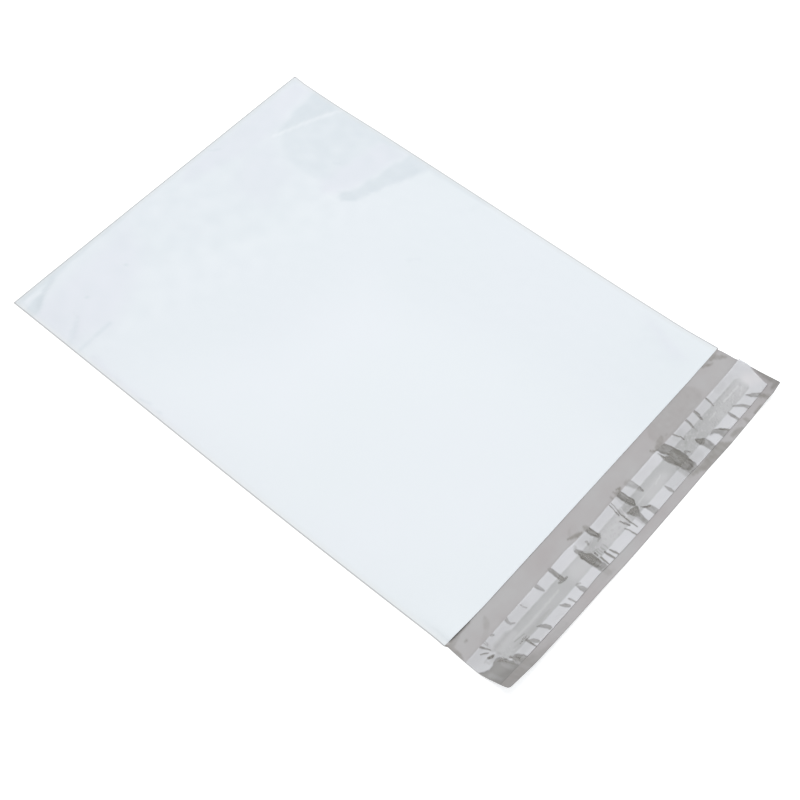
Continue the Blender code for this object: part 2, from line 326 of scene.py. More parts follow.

# Puckers of the liner: how dark they are painted, as shade, how high in millimetres, then the stroke
PUCKERS = (
    (0.63, 0.45, (8.3, 39.2, 2), (9.2, 37, 2.7), (10.8, 34, 2.8), (13.1, 31, 2.3), (14.9, 28.2, 0.5)),
    (0.61, 0.35, (20.2, 33.9, 2.6), (21, 31, 1.9), (23, 28.8, 1.5), (25.3, 27, 0.4)),
    (0.63, 0.35, (29.9, 33.9, 2.1), (30.1, 30, 2), (30.2, 27.6, 1.1)),
    (0.61, 0.55, (41.4, 34, 6.4), (42.3, 31, 4.4), (44.3, 28.4, 2.2), (47.6, 28, 0.5)),
    (0.88, 0.3, (38.4, 34.2, 1.2), (39.9, 31.8, 1.4), (42.1, 29.5, 0.9), (43.4, 28.2, 0.4)),
    (0.76, 0.3, (30.4, 12.8, 1.1), (30.8, 16, 1.1), (31.6, 18.8, 0.9)),
    (0.76, 0.35, (41.2, 12.8, 1.6), (41.6, 16, 1.7), (42.7, 19.1, 1.3)),
    (0.6, 0.6, (53.4, 33.9, 4.4), (53.2, 30, 4.8), (53.4, 28, 5)),
    (0.87, 0.6, (54.2, 26.9, 4.1), (54.9, 25.2, 2.7), (55.3, 24.2, 1)),
    (0.45, 0.15, (55.6, 25.6, 0.8), (57.1, 24.9, 0.4)),
    (0.72, 0.3, (48.5, 12.7, 1.6), (49, 16, 1.6), (49.9, 18.6, 1)),
    (0.4, 0.15, (50, 19.4, 1), (50, 21, 1.1)),
    (0.84, 0.2, (60.2, 12.8, 1.2), (59.9, 14.8, 1.1), (58.7, 17, 1), (59, 19, 0.9)),
    (0.66, 1, (71, 34, 6), (70.6, 31.4, 7.9)),
    (0.84, 1, (70.6, 28.7, 7.8), (70.4, 26, 8.6), (70.8, 22, 9.7)),
    (0.79, 1, (70.9, 22, 9.6), (70.3, 18, 7.8), (70.5, 14.8, 6.7), (71.6, 12.2, 4.6)),
    (0.82, 0.3, (75, 21, 2.1), (75.1, 18.2, 1.6), (74.8, 14, 0.8)),
    (0.6, 0.25, (88.3, 33.8, 1.3), (88.3, 31, 1.9), (88.6, 27.9, 0.7)),
    (0.47, 0.4, (98, 20.7, 0.9), (98.2, 18, 2.2), (98.9, 15, 3.4), (99.4, 12.5, 4.4)),
    (0.66, 0.15, (98, 20.9, 1.1), (97.5, 18.5, 0.8), (97.3, 12.8, 0.6)),
    (0.3, 0.15, (98.9, 20.4, 0.7), (100, 17, 0.7), (101.5, 13, 0.5)),
    (0.54, 0.45, (103.5, 34, 3.6), (103.4, 31, 3.5), (103.8, 29.2, 3.4), (104.6, 28.2, 1.6)),
    (1, 0.2, (103.4, 28.8, 1.7), (105.3, 27.3, 1), (106.4, 25.7, 0.4)),
    (0.82, 0.8, (107.7, 22.6, 1.6), (107.4, 20, 4.2), (107.8, 16, 4.2), (107.8, 12.5, 3.8)),
    (0.78, 0.55, (108.2, 24.5, 2), (110.2, 25, 4.6), (111.4, 24.8, 4.6), (113.4, 23.1, 1.4)),
    (0.64, 0.4, (111.6, 34, 2.8), (111.5, 31, 2.8), (111.2, 27.8, 3.6)),
    (0.76, 0.4, (111.3, 27.9, 2.4), (111.2, 27.2, 3.2)),
    (0.74, 0.12, (114.5, 12.9, 0.6), (115.6, 17.5, 0.6), (116.6, 20.5, 0.9)),
    (0.84, 0.12, (116.6, 20.5, 0.9), (117, 27, 1), (116.8, 31, 0.7)),
    (0.95, 0.12, (116.1, 12.7, 0.5), (116.8, 16.5, 0.6), (117.8, 20.2, 0.8)),
    (0.86, 0.2, (118.8, 27.7, 0.9), (119.5, 25, 1.1), (120.1, 22.6, 0.8)),
    (0.84, 0.2, (120.8, 33.9, 0.9), (121.1, 29, 0.8), (121.9, 27, 0.8)),
    (0.87, 0.6, (134, 19, 2.2), (134.6, 16, 3.3), (134.6, 13, 3.6), (134.4, 10.8, 2)),
    (0.55, 0.2, (132.4, 19, 0.6), (133.8, 20.3, 1.3), (136.4, 20.9, 1.2)),
    (0.87, 0.25, (135.5, 33.9, 0.9), (135.7, 31, 1.3), (136.4, 28.1, 0.7)),
    (0.82, 0.25, (138.5, 33.9, 1.3), (138.8, 31, 1.3), (139.1, 27.3, 1.1)),
    (0.64, 0.15, (141.1, 18.4, 1.1), (140.5, 16.8, 1.5)),
    (0.85, 0.15, (143.1, 32.8, 0.9), (142.9, 28, 1.3)),
    (1, 0.1, (142.9, 25.4, 1), (142.7, 23.9, 1.2)),
    (0.6, 0.8, (146.6, 33, 5), (146.5, 31, 5.4)),
    (0.74, 0.8, (146.6, 28.6, 5), (146.7, 27.4, 5.2)),
    (0.83, 0.8, (146.8, 27.4, 5.2), (146.8, 23.4, 5.6), (147.8, 20.8, 3.9), (147.8, 18.6, 3)),
    (0.74, 0.4, (147.8, 19.2, 3.2), (148.2, 17, 2.4), (148.4, 15.8, 1.4)),
    (0.56, 0.4, (162.2, 32.6, 3), (162.5, 30.5, 2.6), (163.1, 28.4, 1.3)),
    (0.5, 0.1, (160.9, 28.2, 1.1), (163.2, 27.3, 0.9)),
    (0.7, 0.45, (164.9, 19.8, 2.6), (164.9, 16, 2.5), (164.8, 12.4, 2.4)),
    (0.71, 0.25, (162.4, 21.3, 0.9), (164.6, 20.9, 2.1), (166.4, 20.6, 1.8), (167.9, 20.2, 0.7)),
    (0.66, 0.15, (170.4, 33.2, 1.3), (171.1, 29.2, 1)),
    (0.64, 0.25, (174.3, 31.6, 2.1), (175.3, 30, 2.3), (177, 27.9, 0.6)),
    (0.54, 0.35, (175.9, 17.4, 0.7), (176, 16, 1.5), (176.4, 14, 2.3), (176.4, 12.3, 2.3)),
    (0.58, 0.15, (188.7, 16.4, 0.9), (189, 15, 0.8), (189.4, 13.4, 0.9)),
    (0.63, 0.4, (189.8, 31.6, 2.6), (190.4, 29.6, 2.5), (191.4, 28.2, 1.6), (193.1, 26.4, 0.4)),
    (0.64, 0.3, (199.2, 32.4, 2), (200.1, 30.2, 2.6), (201.6, 28.2, 1.2)),
    (0.8, 0.25, (202, 33.2, 1), (202.1, 29.5, 1.3), (202, 27.2, 1.5)),
    (0.75, 0.1, (199.8, 27.1, 0.4), (203.2, 27, 0.5)),
    (0.7, 0.1, (200.4, 25.7, 0.6), (202.8, 25.7, 1.1), (205.5, 26, 0.6)),
    (0.55, 0.3, (198.7, 17, 0.9), (200.3, 15.9, 1.2), (200.5, 14.2, 1.6), (199.8, 12.2, 2)),
    (0.62, 0.15, (210.4, 13, 1.4), (211.2, 12.5, 1.6)),
    (0.7, 0.6, (211.6, 39.6, 5.4), (211.5, 34, 4.8), (212.5, 30.4, 3.8), (213.8, 28.2, 1.2)),
    (0.88, 0.6, (212.5, 31, 2.8), (213.5, 28.6, 1.8)),
    (0.8, 0.1, (215.7, 12.3, 0.4), (216, 14.4, 0.4)),
    (0.8, 0.1, (216.7, 12.2, 0.4), (216.5, 15, 0.4)),
    (0.8, 0.25, (217.4, 17.1, 0.7), (218.3, 15.2, 1.1), (219.5, 12.4, 1.4)),
    (0.84, 0.2, (219.2, 17.3, 0.5), (220.7, 16.1, 0.8), (222.5, 15, 0.7)),
    (0.95, 0.25, (218.3, 20.1, 0.8), (219.8, 19.8, 1.7), (221.3, 19, 1.5), (221.8, 18.7, 0.6)),
    (0.85, 0.1, (213.6, 28.8, 0.7), (214.2, 26.9, 1.4)),
    (0.88, 0.15, (215.7, 31.5, 1.3), (216.9, 27.4, 1.2), (218.2, 24.3, 1.1), (220.2, 23.4, 0.9)),
)

# Lines of painted highlight within the puckers
GLINTS = (
    (0.75, (72.9, 18.9, 0.7), (73.8, 16.8, 0.9), (74.7, 14, 0.7)),
    (0.3, (70, 19.8, 0.9), (71.2, 22.6, 0.9), (72.4, 25.6, 0.7)),
    (0.12, (69.2, 14.6, 0.7), (70.4, 20, 0.6)),
    (0.3, (108.6, 26.8, 0.6), (111, 26.9, 0.8), (113.4, 25.2, 0.5)),
    (0.25, (107, 20.8, 0.6), (107.2, 14, 0.7)),
    (0.12, (146.8, 31, 0.9), (146.6, 26, 0.7)),
    (0.25, (148.2, 24, 0.6), (147.4, 18, 0.5)),
    (0.25, (134.2, 18.6, 0.5), (135.4, 14, 0.6)),
    (0.2, (209.2, 33.6, 0.6), (210.6, 31.4, 0.5)),
    (0.35, (214.2, 28.9, 0.4), (215.2, 31.4, 0.7)),
    (0.3, (214.6, 31, 1.2), (214.3, 34, 1.6)),
    (0.13, (218.6, 31.6, 1.8), (219.4, 26, 1.6)),
    (0.16, (227.6, 25.6, 2.6), (226.6, 31, 2)),
)

# Soft painted shade and streaks of painted highlight on the liner where the glue wets it
SHADES = (
    (0.11, (12, 15.6, 7), (26, 15.6, 7)),
    (0.18, (33, 15.6, 7), (66, 15.8, 8)),
    (0.06, (84, 15.6, 7), (94, 15.6, 7)),
    (0.1, (102, 15.6, 7), (128, 15.6, 7)),
    (0.06, (168, 15.4, 7), (184, 15.4, 7)),
    (0.16, (190, 15, 8), (214, 15, 8)),
    (0.2, (214, 14.6, 9), (228, 14.6, 9)),
    (0.2, (17.6, 15.2, 6), (21.8, 15.2, 6)),
    (0.06, (14, 30.4, 7), (19, 30.4, 7)),
    (0.11, (56, 30.4, 7), (65, 30.4, 7)),
    (0.16, (76, 30.4, 8), (85, 30.4, 7)),
    (0.09, (180, 30.2, 7), (187, 30.2, 7)),
    (0.14, (193, 30.2, 7), (208, 30.2, 7)),
    (0.22, (204.2, 29.6, 6), (207.8, 29.4, 6)),
    (0.12, (221, 20.4, 5), (230, 19.6, 5)),
    (0.3, (216.6, 21.2, 2.6), (221.6, 21, 2.6)),
    (0.09, (-1.8, 17, 2.4), (-1, 25, 2.8), (1.4, 31, 3)),
    (0.27, (56.5, 15.4, 7), (61, 15.4, 7)),
    (0.42, (75.2, 27.8, 3.4), (75.4, 33, 3.4)),
    (0.13, (27.2, 12.8, 5), (28.2, 17.8, 4)),
    (0.35, (222.6, 18.9, 1), (224.6, 19.1, 0.9)),
    (0.24, (113.2, 27.6, 1.6), (113.2, 33, 1.6)),
    (0.26, (110.2, 13.2, 2), (110.8, 17.3, 2.4)),
    (0.2, (136.8, 15.3, 7), (142, 15.3, 6)),
    (0.16, (137, 20.8, 4), (143.5, 20.4, 3.4)),
    (0.12, (41, 22.8, 8.4), (63.5, 22.8, 8.4)),
    (0.24, (61.5, 30, 7), (65.5, 30, 7)),
    (0.3, (216.4, 14, 3), (216.8, 18, 2.4)),
    (0.16, (182, 25.6, 0.8), (190, 25.6, 2.4), (202, 25.9, 3), (209, 25.2, 1)),
    (0.14, (194, 26, 0.8), (200, 25.8, 1.8), (206, 25.6, 0.6)),
    (0.45, (200, 24.2, 0.5), (206.5, 23.2, 0.5)),
    (0.28, (109.6, 20.6, 3), (113.8, 20.4, 3)),
    (0.3, (57, 17.3, 1.6), (58.4, 19.6, 1.4)),
    (0.28, (138, 17.2, 2.2), (139.8, 18.2, 1.6)),
    (0.35, (146.4, 14.2, 1.6), (147.8, 15.4, 1.6)),
    (0.16, (36, 20, 2.4), (60, 20.2, 2.6)),
    (0.3, (59.4, 20.8, 1.6), (61.6, 21.8, 2)),
    (0.26, (55.6, 20.8, 1), (57.2, 21.4, 1.2)),
    (0.7, (63.1, 25.9, 0.8), (64.4, 24, 1.4), (66.6, 24.8, 1.6)),
    (0.22, (63.4, 27.2, 1.6), (65.8, 27.8, 1.6)),
    (0.5, (139.4, 23.6, 0.4), (143.6, 22.4, 0.5), (146, 18.8, 0.6)),
    (0.75, (146, 18.8, 0.6), (147.4, 15.4, 0.7)),
    (0.3, (223.6, 19, 1.8), (223.4, 21, 1.6)),
    (0.35, (136, 24, 0.7), (136.2, 27, 0.7)),
    (0.4, (138.2, 24, 0.6), (138.4, 27.4, 0.7)),
    (0.35, (139.9, 23.8, 0.6), (140.1, 27.4, 0.6)),
    (0.45, (141.3, 23.8, 0.6), (141.5, 27, 0.6)),
)
HIGHLIGHT_STREAKS = (
    (0.85, (12.8, 21.9, 1.2), (25.6, 21.6, 1.2)),
    (0.36, (10.5, 24.6, 6), (16.5, 24.8, 5)),
    (0.28, (10.5, 20.2, 3.4), (24, 20.4, 2.6)),
    (1, (2, 28, 6), (6.5, 24, 7)),
    (0.8, (34, 22.2, 0.8), (40.6, 22.4, 0.7)),
    (0.8, (12.2, 23.8, 0.7), (17.2, 26.2, 0.6)),
    (0.6, (18.8, 23, 0.6), (23.6, 25.6, 0.6)),
    (0.8, (84.8, 22.5, 0.8), (90.6, 23.5, 0.8)),
    (0.5, (88, 22.8, 1), (106, 23.4, 0.8)),
    (0.45, (171, 22.6, 1), (195, 22.8, 1.3), (206, 22.2, 1)),
    (0.35, (203, 20.2, 3), (215.5, 20.2, 3.4)),
    (1, (113.8, 18.4, 0.7), (115.4, 23.4, 0.9)),
    (0.6, (122.6, 22.6, 1.4), (125.6, 22, 1)),
    (0.4, (84, 24.8, 5.5), (98, 24.8, 5.5)),
    (0.45, (120, 23, 10), (131, 23, 10)),
    (0.45, (150, 23, 10), (157, 23, 9)),
    (0.2, (12, 24.6, 6), (44, 24.6, 6)),
)

# How far the cut of the front panel's mouth runs back towards its corners, as x and the dip there, in
# millimetres
MOUTH_CUT = (
    (0, 0.32), (7, 0.32), (14, 0.25), (20, 0.14), (28, 0), (200, 0), (206, 0.14), (214, 0.33), (218, 0.4),
    (224, 0.68), (226, 0.8), (229, 1.17), (231, 1.35),
)

# How far the flap's cut wanders past its length, as x and the reach there, in millimetres
FLAP_CUT = (
    (-1, 0.6), (6, 0.6), (11, 0), (20, -0.15), (45, 0.33), (65, 0), (85, 0.17), (124, 0.3),
    (139, 0.25), (155, -0.12), (200, 0.08), (209, 0.35), (216, 0.2), (221, 0.05), (231, 0),
)

# How far the puckers have pulled the liner along the flap, as x and the shifts of its inner and its
# outer edge, in millimetres
LINER_SHIFTS = (
    (-3, 0.7, 0.7), (1, 0.52, 0.6), (6, 0.25, 0.36), (12, 0.12, 0.22), (36, 0.15, 0.15),
    (66, 0.15, 0.15), (76, -0.3, -0.3), (95, -0.05, -0.05), (118, 0.2, 0.12), (130, 0.58, 0.05),
    (137, 0.12, -0.22), (143, 0.1, -0.4), (152, -0.65, -0.93), (168, -0.15, -0.25),
    (183, -0.05, -0.05), (230, 0, 0),
)

# The stretches of the glue line, from x to x, where the liner on it is crinkled
CRINKLED = ((8, 67, 1), (104, 148, 0.9), (208, 222, 0.6))

# Past this line, from point to point, the curled near corner of the liner and film is painted dark, as
# shade on its tilted surface
CORNER_LINE = (
    (208.3, 46), (208.9, 34), (209.2, 31), (210.3, 28.6), (211.8, 27.5), (213.2, 27.1), (213.9, 27.3),
    (214.4, 28.4), (215, 29), (215.5, 28.3), (216, 26.2), (216.7, 23.6), (217.6, 22.5), (218.9, 21.95),
    (220, 21.9), (221.2, 22.2), (222.4, 22.7), (224.5, 23.15), (226, 22.95), (228, 22.1), (230, 20.5),
    (231.5, 19.5),
)

# Painted highlights on the film beside that corner, which take away some of its painted shade
FILM_GLINTS = (
    (0.4, (214.6, 33, 2.2), (214.4, 37.5, 2.6)),
    (0.2, (224.6, 39, 3), (227, 36, 1.6)),
)

# Painted shade on the flap's grey film: over its small dents, and shadow lines under the lifted lip of
# the mouth and beside the liner's far end
DENTS_AND_SHADOWS = (
    (0.48, (1.5, 6.6, 1.4), (3.6, 4, 2.8), (5.5, 1.6, 2.8)),
    (0.56, (4.6, 0.9, 2.8), (8.2, 0.8, 1.8)),
    (0.32, (0.6, 0.4, 1.1), (15.5, 0.3, 1)),
    (0.64, (9.8, 3, 1), (11.6, 1.8, 1.9), (14.2, 0.3, 1.5)),
    (0.5, (65.6, 9.4, 2.4), (69, 10.6, 4), (71.8, 11.9, 2)),
    (0.95, (73, 12.5, 0.9), (75.3, 11.4, 1.1), (76, 9.9, 0.8)),
    (0.33, (61.4, 10.4, 1.6), (62.6, 10.4, 1.6)),
    (0.85, (106.8, 12.4, 1), (104.6, 11, 1.3), (106.4, 10, 0.8)),
    (0.72, (108.4, 12.3, 1.3), (108.6, 9.9, 1)),
    (0.6, (112, 12, 1), (111.8, 10.6, 0.9)),
    (0.78, (137.8, 11.7, 1.2), (140.4, 10.9, 2.4), (143.6, 9.6, 1.6), (145.4, 8.7, 0.7)),
    (0.15, (143.2, 8.2, 1.6), (140.6, 6, 1.2)),
    (0.24, (206, 4.4, 2.2), (208.8, 7.6, 3.4)),
    (0.13, (208.4, 8, 2.2), (216.4, 11.6, 2.6)),
    (0.56, (221, 5.1, 1.3), (221.5, 4.8, 1.2)),
    (0.75, (212.5, 0.2, 0.7), (218, 0, 1), (224, -0.3, 1.5), (230.5, -0.2, 1.8)),
    (0.3, (221.5, 0.7, 1.2), (229.8, 1.5, 3.4)),
    (0.46, (-3, 37.4, 2.6), (3.4, 37.2, 2.2)),
    (0.64, (9, 39.5, 2), (9.6, 36.6, 2.4), (10.8, 34.6, 2.4)),
    (0.46, (67.4, 34.3, 1.8), (70.5, 35.4, 2.6), (73.6, 34.5, 1.8)),
    (0.5, (228.2, 0.6, 2.6), (229.2, 4, 2.6), (229.6, 9, 1.8)),
    (0.17, (34, 6, 12), (64, 6.6, 12)),
    (0.1, (184, 36.4, 4), (196, 36.4, 4)),
    (0.56, (15.4, 38.3, 1.4), (21, 38.3, 1.4)),
    (0.5, (27.3, 39, 3.4), (27.4, 35.6, 0.8)),
    (0.5, (33, 38.3, 1.6), (36, 37.2, 2.8), (40.4, 36.8, 2.2)),
    (0.56, (44.6, 38.9, 1.8), (49.3, 36.2, 5.2), (58, 36.5, 5), (66, 36.5, 4), (71, 34.8, 1.2)),
    (0.15, (71, 35.4, 3), (75.5, 34.2, 2)),
    (0.1, (144, 36.4, 2), (151, 35, 3.4)),
    (0.28, (146.8, 34.2, 4.2), (146.8, 35.6, 3.4)),
    (0.2, (197, 38.4, 1.4), (206, 37, 3)),
    (0.66, (-1.6, 21.5, 1.8), (-1.2, 28.5, 3.4)),
    (0.42, (-1.3, 29, 4.2), (-0.8, 32.5, 5), (-1, 35, 5)),
)


def smooth(low, high, value):
    """0 before a stretch and 1 past it, with a soft run between."""
    share = np.clip((value - low) / (high - low), 0, 1)
    return share * share * (3 - 2 * share)


def ripples(x, y, size, length, seed, shorter=1):
    """Irregular waves, mostly between a size below zero and the same above it."""
    random = np.random.default_rng(seed)
    total = np.zeros(np.broadcast(x, y).shape)
    for _ in range(WAVES):
        angle = random.uniform(0, math.pi)
        spacing = length * random.uniform(0.7, 1.6)
        phase = random.uniform(0, 2 * math.pi)
        along = x * math.cos(angle) + shorter * y * math.sin(angle)
        total += np.sin(2 * math.pi * along / spacing + phase)
    return size * total / math.sqrt(WAVES)


def stroke(x, y, points, soft, share=0.0):
    """How far inside a brush stroke each place is, from 0 to 1, and how near its spine.

    Its edge is soft over some millimetres, or over a share of half its width where that is more.
    """
    inside = np.zeros(x.shape)
    dome = np.zeros(x.shape)
    for (x0, y0, width0), (x1, y1, width1) in zip(points, points[1:]):
        length = math.hypot(x1 - x0, y1 - y0)
        part = np.clip(((x - x0) * (x1 - x0) + (y - y0) * (y1 - y0)) / length**2, 0, 1)
        away = np.hypot(x - x0 - part * (x1 - x0), y - y0 - part * (y1 - y0))
        half = (width0 + (width1 - width0) * part) / 2
        blur = np.maximum(share * half, soft)
        inside = np.maximum(inside, smooth(-blur, blur, half - away))
        dome = np.maximum(dome, np.clip(1 - away / (half + STROKE_RIM), 0, 1))
    return inside, dome


def strongest(x, y, marks, soft=0.3, share=0.0):
    """The strongest of a set of strokes at each place."""
    total = np.zeros(x.shape)
    for strength, *points in marks:
        inside, _ = stroke(x, y, points, soft, share)
        total = np.maximum(total, strength * inside)
    return total


def patches(x, y, marks):
    """The strongest of a set of soft patches at each place."""
    total = np.zeros(x.shape)
    for strength, soft, *corners in marks:
        outside = np.full(x.shape, -np.inf)
        for (x0, y0), (x1, y1) in zip(corners, corners[1:] + corners[:1]):
            length = math.hypot(x1 - x0, y1 - y0)
            outside = np.maximum(outside, ((y1 - y0) * (x - x0) - (x1 - x0) * (y - y0)) / length)
        total = np.maximum(total, strength * smooth(soft, -soft, outside))
    return total


# The outline and the curls


def far_edge(y):
    """x of the web's far side."""
    hollow = FAR_HOLLOW * np.exp(-(((y - HOLLOW_MIDDLE) / HOLLOW_REACH) ** 2))
    inset = (FAR_INSET * smooth(0, INSET_REACH, y) + hollow) * (1 - smooth(*RETURN_STRETCH, y))
    body = inset - FAR_FLARE * smooth(FAR_FLARE_START, POCKET, y)
    past = np.maximum(y - POCKET, 0)
    step = FAR_STEP * (1 - smooth(*STEP_STRETCH, past)) + FAR_NOTCH * np.exp(-past / FAR_NOTCH_REACH)
    return body + np.where(y > POCKET, step - FAR_SPREAD * smooth(FAR_SPREAD_START, FLAP, past), 0)


def near_edge(y):
    """x of the web's near side."""
    along = np.minimum(y, POCKET)
    bow = SIDE_BOW * np.sin(math.pi * (along / POCKET) ** BOW_POWER)
    body = WIDTH + bow + MOUTH_FLARE * np.exp(-(((POCKET - along) / FLARE_REACH) ** 2))
    past = np.maximum(y - POCKET, 0)
    flap = WIDTH + FLAP_SPREAD - FLAP_NOTCH * np.exp(-past / NOTCH_REACH)
    into_corner = np.clip(past - FLAP + FLAP_CORNER, 0, FLAP_CORNER)
    rounding = FLAP_CORNER - np.sqrt(FLAP_CORNER**2 - into_corner**2)
    return np.where(y <= POCKET, body, flap - FLAP_TAPER * smooth(*TAPER_STRETCH, past) - rounding)


def mouth_dip(x, y):
    """How far the cut of the front panel's mouth runs back, and how that fades down the panels."""
    places, dip = zip(*MOUTH_CUT)
    return np.interp(x / MM, places, dip) * MM * smooth(POCKET - DIP_REACH, POCKET, y)


def flap_reach(x, y):
    """How far the cut of the flap runs out past its length."""
    places, reach = zip(*FLAP_CUT)
    return np.interp(x / MM, places, reach) * MM * ((y - POCKET) / FLAP) ** 4


def curl(x, y):
    """How the flat web moves as its corners curl, and the slope there."""
    shift = np.zeros(x.shape + (3,))
    slope = np.zeros(x.shape + (2,))
    for start, end, radius in CURLS:
        along = (Vector(end) - Vector(start)).normalized()
        across = (-along.y, along.x)
        past = np.maximum((x - start[0]) * across[0] + (y - start[1]) * across[1], 0.0)
        turned = past / radius
        slip = past - radius * np.sin(turned)
        shift[..., 0] -= across[0] * slip
        shift[..., 1] -= across[1] * slip
        shift[..., 2] += radius * (1 - np.cos(turned))
        slope[..., 0] += across[0] * np.tan(turned)
        slope[..., 1] += across[1] * np.tan(turned)
    return shift, slope


def lay(x, y, height):
    """Points at a height above the web's underside, where the bag lies."""
    x, y, height = np.broadcast_arrays(x, y, height)
    shift, slope = curl(x, y)
    normal = np.stack([-slope[..., 0], -slope[..., 1], np.ones(x.shape)], axis=-1)
    normal /= np.linalg.norm(normal, axis=-1, keepdims=True)
    flat = np.stack([x - MIDDLE[0], y - MIDDLE[1], np.zeros(x.shape)], axis=-1)
    return flat + shift + normal * height[..., None]


# The heights of the film and the liner, and their tones, painted shade and painted highlights


def creases(x, y):
    """Height of the front panel's creases."""
    total = np.zeros(x.shape)
    for height, *points in CREASES:
        _, dome = stroke(x / MM, y / MM, points, soft=1.0)
        total += height * dome * dome * (3 - 2 * dome)
    return total * MM


def gap(x, y, inside):
    """The clear height of the pocket, with the front panel's waves and creases. Nothing at the welds."""
    off_weld = 1 - np.exp(-inside / CROWN_REACH)
    off_fold = 1 - np.exp(-y / CROWN_REACH)
    wave = 1 + WAVE * np.sin(2 * math.pi * (x / WAVE_ACROSS + y / WAVE_ALONG))
    closing = 1 - MOUTH_CLOSING * np.exp(-(POCKET - y) / MOUTH_REACH)
    to_corner = np.hypot(WIDTH - x, POCKET - y) / CORNER_REACH
    corner = CORNER_LIFT * (1 - np.exp(-inside / CORNER_WELD)) * np.exp(-(to_corner**2))
    plain = off_weld * (FOLD_GAP + (CROWN - FOLD_GAP) * off_fold * wave) * closing + corner
    fine = MM * sum(ripples(x / MM, y / MM, *waves) for waves in FINE_WAVES)
    held = smooth(0, CREASE_START, inside) * smooth(CREASE_FOLD_START, CREASE_START, y) * closing
    return np.maximum(plain + held * (creases(x, y) + fine), LEAST_GAP * plain)


def body_tones(x, y):
    """The front panel's painted shade, with random mottling and less the painted ridge highlight, and how
    lilac it is.
    """
    xs, ys = x / MM, y / MM
    near_x = xs + ripples(xs, ys, *TONE_WANDER[0])
    near_y = ys + ripples(xs, ys, *TONE_WANDER[1])
    strokes = strongest(near_x, near_y, SHADE_STROKES, share=0.7)
    shade = np.maximum(patches(near_x, near_y, SHADE_PATCHES), strokes)
    shade = shade * (1 + ripples(xs, ys, *TONE_MOTTLING))
    shade = shade + patches(xs, ys, MOTTLED_PATCHES) * ripples(xs, ys, *PATCH_MOTTLING)
    return shade - strongest(xs, ys, RIDGE_HIGHLIGHT, share=0.9), patches(near_x, near_y, LILAC_PATCHES)


def corner_mark(xs, ys):
    """1 where the near corner of the flap has curled away, in millimetres from the mouth."""
    line_x, line_y = zip(*CORNER_LINE)
    return smooth(-CORNER_SOFT, CORNER_SOFT, ys - np.interp(xs, line_x, line_y, left=math.inf))


def flap_film(x, y):
    """How far the flap's film stands up, and how dark it is painted: shade over its dents and shadow
    lines, on its curled near corner and under the wide puckers.
    """
    xs, ys = x / MM, (y - POCKET) / MM
    dent_shade = strongest(xs + ripples(xs, ys, *DENT_WANDER), ys, DENTS_AND_SHADOWS, soft=0.55)
    wide = [mark[:1] + mark[2:] for mark in PUCKERS if max(point[2] for point in mark[2:]) > WIDE_PUCKER]
    under = strongest(xs, ys, wide, soft=0.4) * (1 - smooth(*UNDER_STRETCH, ys))
    outer = smooth(*OUTER_STRETCH, ys)
    curled = smooth(*NEAR_STRETCH, xs) * (1 - strongest(xs, ys, FILM_GLINTS, share=0.9))
    corner = FILM_CORNER_DARK * (corner_mark(xs, ys) * (1 - outer) + outer * curled)
    # Painted shade: the dents and shadow lines, the curled corner, and the film under the wide puckers
    dark = np.maximum(np.maximum(dent_shade, corner), UNDER_DARK * under)
    lift = (DENT_LIFT * dent_shade + UNDER_LIFT * under) * smooth(0, FLAP_START, ys)
    return lift * MM, dark * (1 + ripples(xs, ys, *SHADE_MOTTLING))


def wetting(xs, ys):
    """How wet with glue the liner is, and how crinkled it is there."""
    past_start = xs - GLUE_START / MM
    before_end = GLUE_END / MM - xs
    thin = WET_THIN + (1 - WET_THIN) * smooth(*THIN_STRETCH, past_start)
    ends = thin * smooth(*WET_START, past_start) * smooth(*WET_END, before_end)
    spread = smooth(*SPREAD_STRETCH, xs) * (ys < WET_MIDDLE)
    past_edge = np.abs(ys - WET_MIDDLE) - WET_SPREAD * spread - WET_WIDTH / 2
    past_edge = past_edge + WET_ROUND * smooth(ROUND_REACH, 0, np.minimum(past_start, before_end))
    past_edge = past_edge + ripples(xs, 0 * ys, *WET_RAGGED)
    wet = ends * smooth(WET_SOFT + spread, -WET_SOFT - spread, past_edge)
    outside, within = CRINKLE_ENDS
    crinkled = np.zeros(xs.shape)
    for start, end, amount in CRINKLED:
        stretch = smooth(outside, within, xs - start) * smooth(outside, within, end - xs)
        crinkled = np.maximum(crinkled, amount * stretch)
    return wet, wet * crinkled


